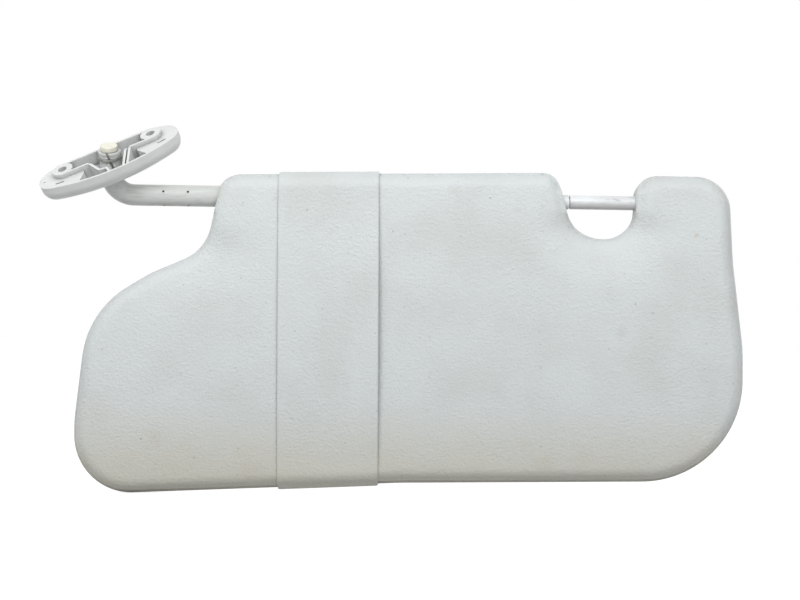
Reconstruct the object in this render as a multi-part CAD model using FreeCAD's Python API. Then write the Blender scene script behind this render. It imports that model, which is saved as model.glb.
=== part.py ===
import FreeCAD, Part
import math
import os
from FreeCAD import Placement, Rotation, Vector

# Car sun visor: a padded vinyl panel that hangs from an L-shaped pivot arm in a roof bracket.
# Millimetres. Origin: midway between the two roof screws, on the bracket's seat. +X runs along
# the pivot arm towards the clip pin, +Z is up with the panel hanging, -Y is the face shown.

os.makedirs("parts", exist_ok=True)

# Pivot arm: a steel rod bent through a right angle, in a plastic sleeve
ROD_D = 8.0
SLEEVE_D = 13.3
BEND_R = 13.6            # centreline of the bend
ARM_DROP = 29.0          # screw plane down to the rod's axis, along the swivel axis
SWIVEL_X = 1.8           # swivel axis beside the middle of the two screws
SWIVEL_LEAN = 27.0       # degrees that the swivel axis leans out of the panel's plane
SLEEVE_END_X = 78.0      # sleeve's end, just inside the panel
ROD_REACH = 122.0        # rod inside the panel, from its entry
CORE_HOLE_D = 1.5        # moulding-pin holes in the sleeve
CORE_HOLE_X = 34.4       # first ring of these holes
CORE_HOLE_PITCH = 15.3

# Roof bracket, in its own frame: u along its length, w across it, n out of its seat
SEAT_ROLL = 18.9         # degrees that the seat rises along the arm
SEAT_PITCH = 36.2        # degrees that the seat leans towards the shown face
SEAT_YAW = 9.6           # degrees that the bracket is turned in its seat
BRACKET_LENGTH = 91.0
BRACKET_NEAR = 20.8      # reach of the rounded near side from the line of the screws
BRACKET_FAR = 10.0       # reach of the straight far side
FAR_CORNER_R = 13.0
NEAR_CORNER_R = 10.0     # round ends where the near side's bow meets them
SEAT_RISE = 3.0          # screw pads above the rim
BRACKET_DEPTH = 15.0     # seat to underside
BRACKET_WALL = 1.6
FLOOR = 2.4
UNDERSIDE_ROUND = 8.0
SCREW_PCD = 58.0
SCREW_HOLE_D = 5.6
SCREW_HEAD_D = 11.0
SCREW_LAND = 4.0         # plastic left under the screw head
RIDGE_WIDTH = 13.0       # raised ridge that ends in the two screw pads
BAY_LEFT = 12.7          # open bay in the ridge's near wall, round the swivel boss
BAY_RIGHT = 14.1
RIB_STEP = [(8.4, 13.0), (4.0, 14.0), (3.0, 20.0)]
RIB_END = 8.8            # where the right ribs meet the near rim
RIB_GAP = 2.6            # between the pair of ribs on the bay's right
END_SLOT = (5.5, 1.1, 6.0)
END_SLOT_U = 33.4
END_SLOT_W = 9.5
END_SLOT_TURN = 12.0     # degrees
POINT_IN = 5.0           # tips of the end plates, inside the screw pads
POINT_W = 9.0
PLATE_U = 24.0           # where the end plates leave the near rim
DIMPLE = (0.5, 1.5)      # radius and depth of the small hole in the rim's left end
DIMPLE_U = -42.0
DIMPLE_W = -1.5

# Swivel: a split boss round a nylon bush, closed by a ring spring
BOSS_D = 13.0
BOSS_COLLAR_D = 14.0
BOSS_COLLAR = 1.4
BOSS_PROUD = 0.6         # boss above the screw plane, on the swivel axis
BOSS_SPLIT = 1.4
SPLIT_U = -0.4
HUB_D = 20.0
HUB_HEIGHT = 3.0
BUSH_D = 10.0
BUSH_FLANGE_D = 14.0
BUSH_FLANGE = 1.0
WASHER = 0.6
CAP_D = 10.6
CAP_HEIGHT = 3.2
CAP_ROOF = 2.0           # solid top over the rod's end
RING_SECTION = (0.9, 1.4)
RING_DROP = 3.6          # boss top to the ring's top
RING_GAP_DEG = 24.0

# Panel outline at its seam; heights are above or below the rod's axis
PANEL_LEFT = -20.0
PANEL_RIGHT = 399.4
PANEL_HIGH = 18.2        # top edge beside the notch
PANEL_LOW = 188.3        # lower left corner
TOP_FALL = 4.4           # the top edge falls towards the arm
BOTTOM_RISE = 15.4       # the bottom edge rises towards the right
ARM_SIDE_X = 72.2        # top left corner, where the arm enters
CUTAWAY = (60.5, 33.9)   # inner corner of the cutaway under the arm
CUTAWAY_RUN = (34.6, 15.2)
NOTCH_X = 279.4
NOTCH_WIDTH = 49.2
NOTCH_DEPTH = 41.4
NOTCH_LEAN = 10.9        # the notch's left side leans in towards its floor
RIGHT_STEP = 1.0         # top edge right of the notch, below the left
RIGHT_LEAN = 11.9        # the right side leans out towards the bottom

# Outline corners, clockwise: x, height above the rod's axis, corner radius
CORNERS = {
    "top_left": (ARM_SIDE_X, PANEL_HIGH - TOP_FALL, 12.5),
    "notch_left": (NOTCH_X, PANEL_HIGH, 10.7),
    "notch_floor_left": (NOTCH_X + NOTCH_LEAN, PANEL_HIGH - NOTCH_DEPTH, 23.8),
    "notch_floor_right": (NOTCH_X + NOTCH_WIDTH + 0.7, PANEL_HIGH - NOTCH_DEPTH + 0.7, 19.4),
    "notch_right": (NOTCH_X + NOTCH_WIDTH, PANEL_HIGH - RIGHT_STEP, 13.8),
    "top_right": (PANEL_RIGHT - RIGHT_LEAN, PANEL_HIGH - RIGHT_STEP, 21.9),
    "right_shoulder": (PANEL_RIGHT - 8.5, PANEL_HIGH - 53.9, 125.4),
    "right_flank": (PANEL_RIGHT - 1.3, PANEL_HIGH - 109.0, 125.4),
    "bottom_right": (PANEL_RIGHT, BOTTOM_RISE - PANEL_LOW, 63.3),
    "bottom_middle": ((PANEL_LEFT + PANEL_RIGHT) / 2 - 4.9, BOTTOM_RISE - 4.6 - PANEL_LOW, 188.1),
    "bottom_left": (PANEL_LEFT + 0.8, -PANEL_LOW, 35.7),
    "left_flank": (PANEL_LEFT + 0.1, 46.6 - PANEL_LOW, 94.0),
    "left_shoulder": (PANEL_LEFT + 7.4, 115.1 - PANEL_LOW, 59.6),
    "cutaway": (CUTAWAY[0] - CUTAWAY_RUN[0], -CUTAWAY[1] - CUTAWAY_RUN[1], 62.7),
    "cutaway_inner": (CUTAWAY[0], -CUTAWAY[1], 29.5),
}
PANEL_THICKNESS = 18.0
EDGE_ROUND = 8.0
SEAM_LIP = 1.5           # welded edge standing out of the rounded side
LIP_THICKNESS = 1.6
SKIN = 1.0

# Ticket strap round the panel
STRAP_X = 105.7
STRAP_WIDTH = 62.7
STRAP = 0.8

# Steel wire frame in the panel
WIRE_D = 4.0
WIRE_INSET = 14.0
WIRE_BEND_R = 16.0
WIRE_TAIL_X = 96.0       # where the wire's lower end comes up into the hinge carrier

# Hinge carrier on the rod, with its detent spring
CARRIER_X = 84.0
CARRIER_DEPTH = 12.0     # through the panel's thickness
CARRIER_TOP = 6.5
CARRIER_BOTTOM = 16.0
CARRIER_HOLD = 16.0      # length that grips the wire
SPRING_X = 120.0
SPRING_WIDTH = 30.0
SPRING_SHEET = 1.0
SPRING_LEG = 14.5        # rod axis to the ends of the legs
WEB = 2.4
WINDOW_MARGIN = 2.0
RIVET_D = 3.0
RIVET_HEAD_D = 5.6
RIVET_HEAD = 0.9
RIVET_PITCH = 18.0
FLAT_DEPTH = 0.6         # detent flat on the rod
RETAINER_D = 11.0
RETAINER = 0.8
RETAINER_GROOVE = 0.5

# Clip pin across the notch
PIN_D = 8.8
PIN_COLLAR_D = 9.2
PIN_COLLAR_SHOWN = 3.6
PIN_COLLAR_ROUND = 0.9
PIN_GAP = 0.4            # between the collar and the pin
BLOCK = (16.0, 12.0, 14.0)
BLOCK_SETBACK = 6.4      # block behind the notch's seam line
SOCKET = 3.0

# Clearances
RUNNING = 0.05           # radial, shafts and hinges
FIXED = 0.1              # pieces that are pressed, glued or moulded on
CLEAR = 0.3              # pieces that move, and soft pieces
OPENING_CLEAR = 0.5      # round the sleeve and pin where they enter the skins

lean = math.radians(SWIVEL_LEAN)
SWIVEL_AXIS = Vector(0, -math.sin(lean), math.cos(lean))
SWIVEL_TOP = Vector(SWIVEL_X, 0, 0)
ELBOW = SWIVEL_TOP - SWIVEL_AXIS * ARM_DROP
AXIS_Y = ELBOW.y
AXIS_Z = ELBOW.z
X_AXIS = Vector(1, 0, 0)
Y_AXIS = Vector(0, 1, 0)


def save(shape, node):
    shape.exportStep("parts/" + node + ".step")
    print(node, len(shape.Solids), round(shape.Volume, 1), shape.isValid())


def at(x, y, z):
    """Point by its x, its depth from the panel's mid-plane and its height above the rod."""
    return Vector(x, AXIS_Y + y, AXIS_Z + z)


def rod_cylinder(radius, x_start, x_end):
    return Part.makeCylinder(radius, x_end - x_start, at(x_start, 0, 0), X_AXIS)


def panel_box(x_start, x_end, half_depth, z_low, z_high):
    corner = at(x_start, -half_depth, z_low)
    return Part.makeBox(x_end - x_start, 2 * half_depth, z_high - z_low, corner)


def swivel_cylinder(radius, low, high):
    """Cylinder on the swivel axis, between two heights above the rod's axis."""
    return Part.makeCylinder(radius, high - low, ELBOW + SWIVEL_AXIS * low, SWIVEL_AXIS)


def inset(corners, distance):
    """Corners of a clockwise outline moved inwards, with their radii to match."""
    count = len(corners)
    lines = []
    for i in range(count):
        x0, z0, _ = corners[i]
        x1, z1, _ = corners[(i + 1) % count]
        run = math.hypot(x1 - x0, z1 - z0)
        tx, tz = (x1 - x0) / run, (z1 - z0) / run
        lines.append((x0 + tz * distance, z0 - tx * distance, tx, tz))
    moved = []
    for i in range(count):
        ax, az, atx, atz = lines[i - 1]
        bx, bz, btx, btz = lines[i]
        turn = atx * btz - atz * btx
        along = ((bx - ax) * btz - (bz - az) * btx) / turn
        side = 1 if turn < 0 else -1
        radius = max(corners[i][2] - side * distance, 0.5)
        moved.append((ax + atx * along, az + atz * along, radius))
    return moved


def rounded(corners, closed):
    """Wire through the corners in the panel's mid-plane, rounded by tangent arcs."""
    count = len(corners)
    points = [Vector(x, 0, z) for x, z, _ in corners]
    inner = range(count) if closed else range(1, count - 1)
    reach = {}
    for i in inner:
        back = (points[i - 1] - points[i]).normalize()
        ahead = (points[(i + 1) % count] - points[i]).normalize()
        reach[i] = corners[i][2] / math.tan(back.getAngle(ahead) / 2)
    limited = dict(reach)
    for i in inner:
        for j in (i - 1, (i + 1) % count):
            run = (points[j] - points[i]).Length
            both = reach[i] + reach.get(j % count, 0.0)
            if both > 0.98 * run:
                limited[i] = min(limited[i], 0.98 * run * reach[i] / both)
    edges = []
    last = None if closed else points[0]
    first = None
    for i in inner:
        back = (points[i - 1] - points[i]).normalize()
        ahead = (points[(i + 1) % count] - points[i]).normalize()
        half = back.getAngle(ahead) / 2
        radius = limited[i] * math.tan(half)
        start = points[i] + back * limited[i]
        end = points[i] + ahead * limited[i]
        bisector = (back + ahead).normalize()
        middle = points[i] + bisector * (radius / math.sin(half) - radius)
        if last is not None:
            edges.append(Part.LineSegment(last, start).toShape())
        else:
            first = start
        edges.append(Part.Arc(start, middle, end).toShape())
        last = end
    edges.append(Part.LineSegment(last, first if closed else points[-1]).toShape())
    wire = Part.Wire(edges)
    wire.translate(Vector(0, AXIS_Y, AXIS_Z))
    return wire


OUTLINE = list(CORNERS.values())


def plate(distance, half_depth):
    face = Part.Face(rounded(inset(OUTLINE, distance), True))
    face.translate(Vector(0, -half_depth, 0))
    return face.extrude(Vector(0, 2 * half_depth, 0))


def slab(distance, half_depth, edge_round):
    """Plate with both its rims rounded."""
    body = plate(distance, half_depth)
    smallest = min(r for _, _, r in inset(OUTLINE, distance))
    edge_round = min(edge_round, half_depth - 0.5, smallest - 0.4)
    rims = []
    for edge in body.Edges:
        box = edge.BoundBox
        if box.YLength < 1e-6 and abs(abs(box.YMin - AXIS_Y) - half_depth) < 1e-6:
            rims.append(edge)
    return body.makeFillet(edge_round, rims)


def half_space(front):
    """Everything on one side of the seam, a fixed clearance off it."""
    big = 1000.0
    y = AXIS_Y - FIXED - big if front else AXIS_Y + FIXED
    return Part.makeBox(2 * big, big, 2 * big, Vector(-big, y, -big))


def side_crossing(upper, lower):
    """x where the straight side between two corners crosses the rod's axis."""
    x0, z0, _ = CORNERS[upper]
    x1, z1, _ = CORNERS[lower]
    return x0 + (x1 - x0) * (0 - z0) / (z1 - z0)


# Places along the rod
skin_back = SEAM_LIP + SKIN
rod_entry = side_crossing("top_left", "cutaway_inner")
rod_end = rod_entry + ROD_REACH
carrier_end = rod_end + CARRIER_HOLD
half = PANEL_THICKNESS / 2
pad_half = half - SKIN - CLEAR
spring_end = SPRING_X + SPRING_WIDTH

notch_left = side_crossing("notch_left", "notch_floor_left")
notch_right = side_crossing("notch_right", "notch_floor_right")
left_block_end = notch_left - BLOCK_SETBACK
right_block_start = notch_right + BLOCK_SETBACK
collar_end = notch_left + PIN_COLLAR_SHOWN
pin_start = collar_end + PIN_GAP
pin_end = right_block_start + SOCKET

# Places on the swivel, as heights above the rod's axis
bush_low = BEND_R + FIXED
washer_low = bush_low + BUSH_FLANGE + FIXED
boss_low = washer_low + WASHER + CLEAR
boss_high = ARM_DROP + BOSS_PROUD
cap_low = boss_high + CLEAR
cap_high = cap_low + CAP_HEIGHT
rod_high = cap_high - CAP_ROOF


def arm_path(x_end, high):
    """Centreline of the arm from the swivel, round the bend and along the panel's top."""
    bend = BEND_R * (1 - math.sqrt(0.5))
    top = ELBOW + SWIVEL_AXIS * high
    bend_start = ELBOW + SWIVEL_AXIS * BEND_R
    bend_middle = ELBOW + (SWIVEL_AXIS + X_AXIS) * bend
    bend_end = ELBOW + X_AXIS * BEND_R
    edges = []
    if high > BEND_R + 1e-6:
        edges.append(Part.LineSegment(top, bend_start).toShape())
    edges.append(Part.Arc(bend_start, bend_middle, bend_end).toShape())
    edges.append(Part.LineSegment(bend_end, at(x_end, 0, 0)).toShape())
    return Part.Wire(edges)


def arm_pipe(radius, x_end, high):
    start = ELBOW + SWIVEL_AXIS * high
    circle = Part.Wire(Part.makeCircle(radius, start, SWIVEL_AXIS))
    return arm_path(x_end, high).makePipeShell([circle], True, True)


def arm_rod():
    rod = arm_pipe(ROD_D / 2, rod_end, rod_high)
    flat_low = -ROD_D
    flat_high = -ROD_D / 2 + FLAT_DEPTH
    rod = rod.cut(panel_box(SPRING_X, spring_end, ROD_D, flat_low, flat_high))
    groove_x = rod_end - 2 * RETAINER
    groove = rod_cylinder(ROD_D, groove_x, groove_x + RETAINER + 2 * FIXED)
    groove = groove.cut(rod_cylinder(ROD_D / 2 - RETAINER_GROOVE, groove_x - 1, rod_end))
    return rod.cut(groove)


def arm_sleeve():
    sleeve = arm_pipe(SLEEVE_D / 2, SLEEVE_END_X, BEND_R)
    for ring in range(2):
        x = CORE_HOLE_X + ring * CORE_HOLE_PITCH
        for quarter in range(4):
            turn = Rotation(X_AXIS, 45 + 90 * quarter)
            out = turn.multVec(SWIVEL_AXIS)
            base = at(x, 0, 0) + out * (ROD_D / 2)
            sleeve = sleeve.cut(Part.makeCylinder(CORE_HOLE_D / 2, SLEEVE_D, base, out))
    bore = arm_pipe(ROD_D / 2 + FIXED, SLEEVE_END_X + 1, BEND_R + 1)
    return sleeve.cut(bore)


def rod_retainer():
    x = rod_end - 2 * RETAINER + FIXED
    ring = rod_cylinder(RETAINER_D / 2, x, x + RETAINER)
    return ring.cut(rod_cylinder(ROD_D / 2 - RETAINER_GROOVE + FIXED, x - 1, rod_end))


def swivel_bush():
    bush = swivel_cylinder(BUSH_D / 2, bush_low, boss_high)
    bush = bush.fuse(swivel_cylinder(BUSH_FLANGE_D / 2, bush_low, bush_low + BUSH_FLANGE))
    return bush.cut(swivel_cylinder(ROD_D / 2 + FIXED, bush_low - 1, boss_high + 1))


def thrust_washer():
    washer = swivel_cylinder(BUSH_FLANGE_D / 2, washer_low, washer_low + WASHER)
    return washer.cut(swivel_cylinder(BUSH_D / 2 + FIXED, 0, boss_high))


def swivel_cap():
    cap = swivel_cylinder(CAP_D / 2, cap_low, cap_high)
    top = [e for e in cap.Edges if len(e.Vertexes) == 1]
    top = max(top, key=lambda e: e.CenterOfMass.z)
    cap = cap.makeFillet(0.8, [top])
    return cap.cut(swivel_cylinder(ROD_D / 2 + FIXED, 0, rod_high + FIXED))


def seat_placement():
    roll = Rotation(Y_AXIS, -SEAT_ROLL)
    pitch = Rotation(X_AXIS, SEAT_PITCH)
    yaw = Rotation(Vector(0, 0, 1), SEAT_YAW)
    return Placement(Vector(0, 0, 0), roll.multiply(pitch).multiply(yaw))


def bracket_outline(shrink):
    """Bowed near side, straight far side and round ends, in the bracket's own plane."""
    end = BRACKET_LENGTH / 2
    shoulder = BRACKET_FAR - FAR_CORNER_R
    far_centre = end - FAR_CORNER_R
    near_centre = end - NEAR_CORNER_R
    depth = BRACKET_NEAR - NEAR_CORNER_R
    bow = (near_centre**2 + shoulder**2 - depth**2) / (2 * (depth + shoulder))
    bow_r = BRACKET_NEAR + bow
    bow_half = math.asin(near_centre / (bow_r - NEAR_CORNER_R))
    turn = math.pi / 2 - bow_half

    def arc(u, w, radius, start, stop):
        radius -= shrink
        spots = [start, (start + stop) / 2, stop]
        spots = [Vector(u + radius * math.cos(t), w + radius * math.sin(t), 0) for t in spots]
        return Part.Arc(*spots).toShape()

    edges = [
        arc(far_centre, shoulder, FAR_CORNER_R, 0, math.pi / 2),
        arc(-far_centre, shoulder, FAR_CORNER_R, math.pi / 2, math.pi),
        arc(-near_centre, shoulder, NEAR_CORNER_R, math.pi, math.pi + turn),
        arc(0, bow, bow_r, math.pi + turn, 2 * math.pi - turn),
        arc(near_centre, shoulder, NEAR_CORNER_R, 2 * math.pi - turn, 2 * math.pi),
    ]
    line = Part.LineSegment(edges[0].Vertexes[-1].Point, edges[1].Vertexes[0].Point)
    edges.insert(1, line.toShape())
    return Part.Wire(edges)


def prism(points, low, high):
    """Upright block over a polygon in the bracket's own plane."""
    face = Part.Face(Part.makePolygon([Vector(u, w, low) for u, w in points + points[:1]]))
    return face.extrude(Vector(0, 0, high - low))


def rib(points, thickness, low, tops):
    """Upright wall along a line of points, its top at a height of its own at each point."""
    walls = []
    for i in range(len(points) - 1):
        (u0, w0), (u1, w1) = points[i:i + 2]
        run = math.hypot(u1 - u0, w1 - w0)
        across = Vector(-(w1 - w0) / run, (u1 - u0) / run, 0) * thickness
        side = [(u0, w0, low), (u1, w1, low), (u1, w1, tops[i + 1]), (u0, w0, tops[i]), (u0, w0, low)]
        face = Part.Face(Part.makePolygon([Vector(*p) - across / 2 for p in side]))
        walls.append(face.extrude(across))
        walls.append(Part.makeCylinder(thickness / 2, tops[i + 1] - low, Vector(u1, w1, low)))
    return walls[0].multiFuse(walls[1:])


def roof_bracket():
    rim = -SEAT_RISE
    floor = -BRACKET_DEPTH + FLOOR
    screw_u = SCREW_PCD / 2
    ridge = RIDGE_WIDTH / 2
    tip = screw_u - ridge

    def upright_box(u0, u1, w0, w1, low, high):
        return Part.makeBox(u1 - u0, w1 - w0, high - low, Vector(u0, w0, low))

    def stadium(half_width, low, high):
        body = upright_box(-screw_u, screw_u, -half_width, half_width, low, high)
        for side in (-1, 1):
            end = Part.makeCylinder(half_width, high - low, Vector(side * screw_u, 0, low))
            body = body.fuse(end)
        return body

    def hull(shrink, low, rounding):
        face = Part.Face(bracket_outline(shrink))
        face.translate(Vector(0, 0, low))
        body = face.extrude(Vector(0, 0, rim - low))
        rims = [e for e in body.Edges if abs(e.BoundBox.ZMax - low) < 1e-6]
        return body.makeFillet(rounding, rims)

    outside = hull(0, -BRACKET_DEPTH, UNDERSIDE_ROUND)
    body = outside.fuse(stadium(ridge, -BRACKET_DEPTH / 2, 0))

    # Hollow in the ridge between its two screw bosses, open in a bay round the swivel
    hollow = upright_box(-screw_u, screw_u, -ridge + BRACKET_WALL, ridge - BRACKET_WALL, floor, 1)
    for side in (-1, 1):
        screw_boss = Part.makeCylinder(ridge, 2 * BRACKET_DEPTH)
        screw_boss.translate(Vector(side * screw_u, 0, -BRACKET_DEPTH))
        hollow = hollow.cut(screw_boss)
    body = body.cut(hollow)
    body = body.cut(upright_box(-BAY_LEFT, BAY_RIGHT, -ridge - 1, 0, floor, 1))

    # Pocket between the ridge and the near rim, under the pointed end plates
    mouth = [(-tip + POINT_IN, -ridge), (-tip + POINT_IN, -POINT_W), (-PLATE_U, -BRACKET_NEAR)]
    mouth += [(-u, w) for u, w in reversed(mouth)]
    pocket = hull(BRACKET_WALL, floor, UNDERSIDE_ROUND - BRACKET_WALL)
    body = body.cut(pocket.common(prism(mouth, floor, 0)))

    # Ribs from the ridge to the near rim on both sides of the bay, the left one stepped
    reach = BRACKET_NEAR - BRACKET_WALL
    stepped = [(-BAY_LEFT, -ridge + 0.5)] + [(-u, -min(w, reach)) for u, w in RIB_STEP]
    straight = [(BAY_RIGHT, -ridge + 0.5), (RIB_END, -reach)]
    inner = [(u - RIB_GAP, w) for u, w in straight]
    inside = outside.fuse(prism(mouth, rim, 0))
    for line in (stepped, straight, inner):
        tops = [0] + [rim] * (len(line) - 1)
        body = body.fuse(rib(line, BRACKET_WALL, floor - 0.5, tops).common(inside))

    for side in (-1, 1):
        base = Vector(side * screw_u, 0, -BRACKET_DEPTH - 1)
        body = body.cut(Part.makeCylinder(SCREW_HOLE_D / 2, BRACKET_DEPTH + 2, base))
        head_depth = BRACKET_DEPTH + 1 - SCREW_LAND
        body = body.cut(Part.makeCylinder(SCREW_HEAD_D / 2, head_depth, base))
        slot = Part.makeBox(*END_SLOT)
        slot.translate(Vector(-END_SLOT[0] / 2, -END_SLOT[1] / 2, 0))
        slot.rotate(Vector(0, 0, 0), Vector(0, 0, 1), side * END_SLOT_TURN)
        slot.translate(Vector(side * END_SLOT_U, -END_SLOT_W, rim - END_SLOT[2] + 1))
        body = body.cut(slot)
    dimple = Part.makeCylinder(DIMPLE[0], DIMPLE[1] + 1, Vector(DIMPLE_U, DIMPLE_W, rim - DIMPLE[1]))
    body = body.cut(dimple)
    body.Placement = seat_placement()

    # Swivel boss, split towards the near side, on a hub that joins the floor
    envelope = Part.Face(bracket_outline(0))
    envelope.translate(Vector(0, 0, -BRACKET_DEPTH))
    envelope = envelope.extrude(Vector(0, 0, BRACKET_DEPTH))
    envelope.Placement = seat_placement()
    hub = swivel_cylinder(HUB_D / 2, 0, boss_low + HUB_HEIGHT).common(envelope)
    boss = swivel_cylinder(BOSS_D / 2, boss_low, boss_high)
    collar = swivel_cylinder(BOSS_COLLAR_D / 2, boss_high - BOSS_COLLAR, boss_high)
    body = body.fuse([hub, boss, collar])

    ring_low, ring_high, ring_in, ring_out = ring_sizes()
    groove = swivel_cylinder(ring_out + CLEAR, ring_low - FIXED, ring_high + FIXED)
    groove = groove.cut(swivel_cylinder(ring_in - FIXED, 0, ARM_DROP))
    body = body.cut(groove)
    body = body.cut(swivel_cylinder(BUSH_D / 2 + RUNNING, 0, ARM_DROP + BRACKET_DEPTH))
    body = body.cut(swivel_cylinder(BUSH_FLANGE_D / 2 + 2 * CLEAR, 0, boss_low))
    cap_space = swivel_cylinder(CAP_D / 2 + CLEAR, boss_high, ARM_DROP + BRACKET_DEPTH)
    body = body.cut(cap_space)
    split = Part.makeBox(BOSS_SPLIT, BOSS_COLLAR_D / 2 + 1, BRACKET_DEPTH)
    split.translate(Vector(SPLIT_U - BOSS_SPLIT / 2, -BOSS_COLLAR_D / 2 - 1, floor + HUB_HEIGHT))
    split.Placement = seat_placement().multiply(split.Placement)
    return body.cut(split)


def ring_sizes():
    width, height = RING_SECTION
    high = boss_high - RING_DROP
    inner = BOSS_D / 2 + FIXED
    return high - height, high, inner, inner + width


def boss_ring():
    low, high, inner, outer = ring_sizes()
    ring = swivel_cylinder(outer, low, high).cut(swivel_cylinder(inner, 0, ARM_DROP))
    gap = Part.makeBox(2 * outer, outer * math.radians(RING_GAP_DEG), ARM_DROP)
    gap.translate(Vector(0, -outer * math.radians(RING_GAP_DEG) / 2, 0))
    gap.rotate(Vector(0, 0, 0), Vector(0, 0, 1), 60)
    gap.rotate(Vector(0, 0, 0), X_AXIS, SWIVEL_LEAN)
    gap.translate(ELBOW)
    return ring.cut(gap)


def wire_path():
    """Frame wire: along the rod's axis, across the notch and round the panel."""
    names = list(CORNERS)
    bent = dict(zip(names, inset(OUTLINE, WIRE_INSET)))
    route = [(rod_end + RETAINER, 0.0, 0.0), (bent["top_right"][0], 0.0, WIRE_BEND_R)]
    for name in names[names.index("right_shoulder"):names.index("cutaway") + 1]:
        route.append(bent[name][:2] + (max(bent[name][2], WIRE_BEND_R),))
    last = bent["cutaway"]
    slope = (CORNERS["cutaway_inner"][1] - CORNERS["cutaway"][1])
    slope /= CORNERS["cutaway_inner"][0] - CORNERS["cutaway"][0]
    tail_z = last[1] + slope * (WIRE_TAIL_X - last[0])
    route.append((WIRE_TAIL_X, tail_z, WIRE_BEND_R))
    route.append((WIRE_TAIL_X, -ROD_D / 2 - 4 * RETAINER, 0.0))
    return route


def wire_solid(radius):
    route = wire_path()
    path = rounded(route, False)
    start = at(route[0][0], 0, 0)
    circle = Part.Wire(Part.makeCircle(radius, start, X_AXIS))
    return path.makePipeShell([circle], True, True)


def hinge_carrier():
    depth = CARRIER_DEPTH / 2
    body = panel_box(CARRIER_X, carrier_end, depth, -CARRIER_BOTTOM, CARRIER_TOP)
    rims = [e for e in body.Edges if e.BoundBox.XLength > CARRIER_X / 2]
    body = body.makeFillet(1.5, rims)
    window_start = SPRING_X - WINDOW_MARGIN
    window_end = spring_end + WINDOW_MARGIN
    web_top = -ROD_D / 2 - SPRING_SHEET
    for side in (-1, 1):
        window = panel_box(window_start, window_end, depth, -CARRIER_BOTTOM, CARRIER_TOP)
        window.translate(Vector(0, side * (depth + WEB / 2), 0))
        body = body.cut(window)
    body = body.cut(panel_box(window_start, window_end, depth, web_top, CARRIER_TOP))
    slot_x = rod_end - 2 * RETAINER + FIXED - CLEAR
    slot_low = -RETAINER_D / 2 - CLEAR
    slot_end = slot_x + RETAINER + 2 * CLEAR
    body = body.cut(panel_box(slot_x, slot_end, depth, slot_low, CARRIER_TOP))
    body = body.cut(rod_cylinder(ROD_D / 2 + RUNNING, CARRIER_X - 1, rod_end + CLEAR))
    body = body.cut(wire_solid(WIRE_D / 2 + FIXED))
    for x in rivet_places():
        body = body.cut(rivet_shank(x, RIVET_D / 2 + FIXED))
    return body


def rivet_places():
    middle = SPRING_X + SPRING_WIDTH / 2
    return [middle - RIVET_PITCH / 2, middle + RIVET_PITCH / 2]


def rivet_height():
    return -(ROD_D / 2 + SPRING_LEG) / 2 - 0.5


def rivet_shank(x, radius):
    half_grip = WEB / 2 + FIXED + SPRING_SHEET + FIXED
    start = at(x, -half_grip - RIVET_HEAD, rivet_height())
    return Part.makeCylinder(radius, 2 * (half_grip + RIVET_HEAD), start, Y_AXIS)


def spring_rivet(x):
    half_grip = WEB / 2 + FIXED + SPRING_SHEET + FIXED
    rivet = rivet_shank(x, RIVET_D / 2)
    for side in (-1, 1):
        base = at(x, side * half_grip, rivet_height())
        head = Part.makeCylinder(RIVET_HEAD_D / 2, RIVET_HEAD, base, Y_AXIS * side)
        rivet = rivet.fuse(head)
    return rivet


def detent_spring():
    inner = ROD_D / 2 + RUNNING
    outer = inner + SPRING_SHEET
    leg_in = WEB / 2 + FIXED
    leg_out = leg_in + SPRING_SHEET
    solid = rod_cylinder(outer, SPRING_X, spring_end)
    solid = solid.fuse(panel_box(SPRING_X, spring_end, leg_out, -SPRING_LEG, 0))
    solid = solid.cut(rod_cylinder(inner, SPRING_X - 1, spring_end + 1))
    solid = solid.cut(panel_box(SPRING_X - 1, spring_end + 1, leg_in, -SPRING_LEG - 1, 0))
    for x in rivet_places():
        solid = solid.cut(rivet_shank(x, RIVET_D / 2 + FIXED))
    return solid


def clip_pin():
    pin = rod_cylinder(PIN_D / 2, pin_start, pin_end)
    return pin.cut(rod_cylinder(WIRE_D / 2 + FIXED, notch_left, pin_end + 1))


def block_box(x_start, margin):
    return panel_box(x_start - margin, x_start + BLOCK[0] + margin, BLOCK[1] / 2 + margin,
                     -BLOCK[2] / 2 - margin, BLOCK[2] / 2 - BLOCK[0] / 8 + margin)


def pin_block_left():
    x_start = left_block_end - BLOCK[0]
    block = block_box(x_start, 0)
    collar = rod_cylinder(PIN_COLLAR_D / 2, x_start + 1, collar_end)
    mouth_edge = max(collar.Edges, key=lambda e: e.CenterOfMass.x)
    collar = collar.makeFillet(PIN_COLLAR_ROUND, [mouth_edge])
    block = block.fuse(collar)
    return block.cut(rod_cylinder(WIRE_D / 2 + FIXED, x_start - 1, collar_end + 1))


def pin_block_right():
    block = block_box(right_block_start, 0)
    block_end = right_block_start + BLOCK[0]
    block = block.cut(rod_cylinder(PIN_D / 2 + FIXED, right_block_start - 1, pin_end + FIXED))
    return block.cut(rod_cylinder(WIRE_D / 2 + FIXED, right_block_start, block_end + 1))


def openings(margin):
    """Space round the sleeve and both ends of the pin where they enter the panel."""
    gap = OPENING_CLEAR + margin
    return [
        rod_cylinder(SLEEVE_D / 2 + gap, ELBOW.x, CARRIER_X - CLEAR),
        rod_cylinder(PIN_COLLAR_D / 2 + gap, left_block_end, pin_start),
        rod_cylinder(PIN_D / 2 + gap, pin_start + SOCKET, right_block_start),
    ]


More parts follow.
